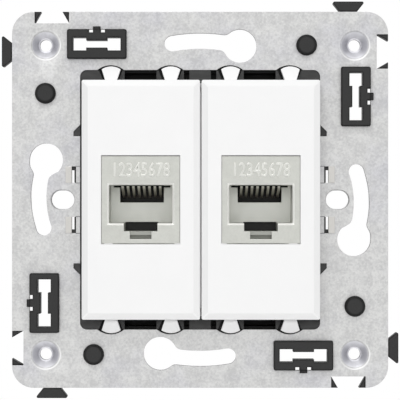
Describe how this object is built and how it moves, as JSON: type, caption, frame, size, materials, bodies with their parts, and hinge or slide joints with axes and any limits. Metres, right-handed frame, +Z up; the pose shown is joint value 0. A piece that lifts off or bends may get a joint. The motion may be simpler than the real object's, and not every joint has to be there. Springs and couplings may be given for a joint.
{
  "type": "double ethernet wall socket",
  "caption": "Square steel mounting plate with plastic corner links, a module holder and two white modules with shielded network jacks, for a flush wall box.",
  "frame": {"origin": "centre of the four corner screws, in the plane of the wall", "axes": "+Z up, +X to the right as seen from the room, -Y out of the wall toward the room"},
  "size_m": [0.075, 0.0382, 0.075],
  "materials": {
    "galvanised_steel": "hot-dip galvanised sheet, satin",
    "black_plastic": "moulded, fine matt",
    "white_plastic": "moulded, semi-gloss white",
    "nickel_plate": "die-cast zinc, satin nickel plate",
    "gold_contact": "gold-plated spring bronze",
    "board": "green glass-fibre board",
    "grey_plastic": "moulded, matt light grey",
    "tin_blade": "tin-plated bronze",
    "steel_pin": "drawn steel"
  },
  "bodies": {
    "socket": {"mounting_plate": "galvanised_steel", "module_holder": "black_plastic", "corner_link_top_left": "black_plastic", "corner_link_top_right": "black_plastic", "corner_link_bottom_right": "black_plastic", "corner_link_bottom_left": "black_plastic", "faceplate_left": "white_plastic", "jack_shell_left": "nickel_plate", "contact_carrier_left": "black_plastic", "contact_wires_left": "gold_contact", "circuit_board_left": "board", "terminal_block_left": "grey_plastic", "terminal_blades_left": "tin_blade", "wire_cap_left": "grey_plastic", "release_latch_left": "black_plastic", "upper_hinge_pin_left": "steel_pin", "lower_hinge_pin_left": "steel_pin", "faceplate_right": "white_plastic", "jack_shell_right": "nickel_plate", "contact_carrier_right": "black_plastic", "contact_wires_right": "gold_contact", "circuit_board_right": "board", "terminal_block_right": "grey_plastic", "terminal_blades_right": "tin_blade", "wire_cap_right": "grey_plastic", "release_latch_right": "black_plastic", "upper_hinge_pin_right": "steel_pin", "lower_hinge_pin_right": "steel_pin"},
    "upper_rear_door_left": {"upper_rear_door_left": "nickel_plate"},
    "lower_rear_door_left": {"lower_rear_door_left": "nickel_plate"},
    "upper_rear_door_right": {"upper_rear_door_right": "nickel_plate"},
    "lower_rear_door_right": {"lower_rear_door_right": "nickel_plate"}
  },
  "joints": [
    {"name": "upper_door_hinge_left", "type": "hinge", "parent": "socket", "child": "upper_rear_door_left", "pos_m": [-0.01112, 0.01805, 0.00913], "axis": [1, 0, 0], "range_deg": [0, 95]},
    {"name": "lower_door_hinge_left", "type": "hinge", "parent": "socket", "child": "lower_rear_door_left", "pos_m": [-0.01112, 0.01805, -0.00913], "axis": [-1, 0, 0], "range_deg": [0, 95]},
    {"name": "upper_door_hinge_right", "type": "hinge", "parent": "socket", "child": "upper_rear_door_right", "pos_m": [0.01138, 0.01805, 0.00913], "axis": [1, 0, 0], "range_deg": [0, 95]},
    {"name": "lower_door_hinge_right", "type": "hinge", "parent": "socket", "child": "lower_rear_door_right", "pos_m": [0.01138, 0.01805, -0.00913], "axis": [-1, 0, 0], "range_deg": [0, 95]}
  ]
}
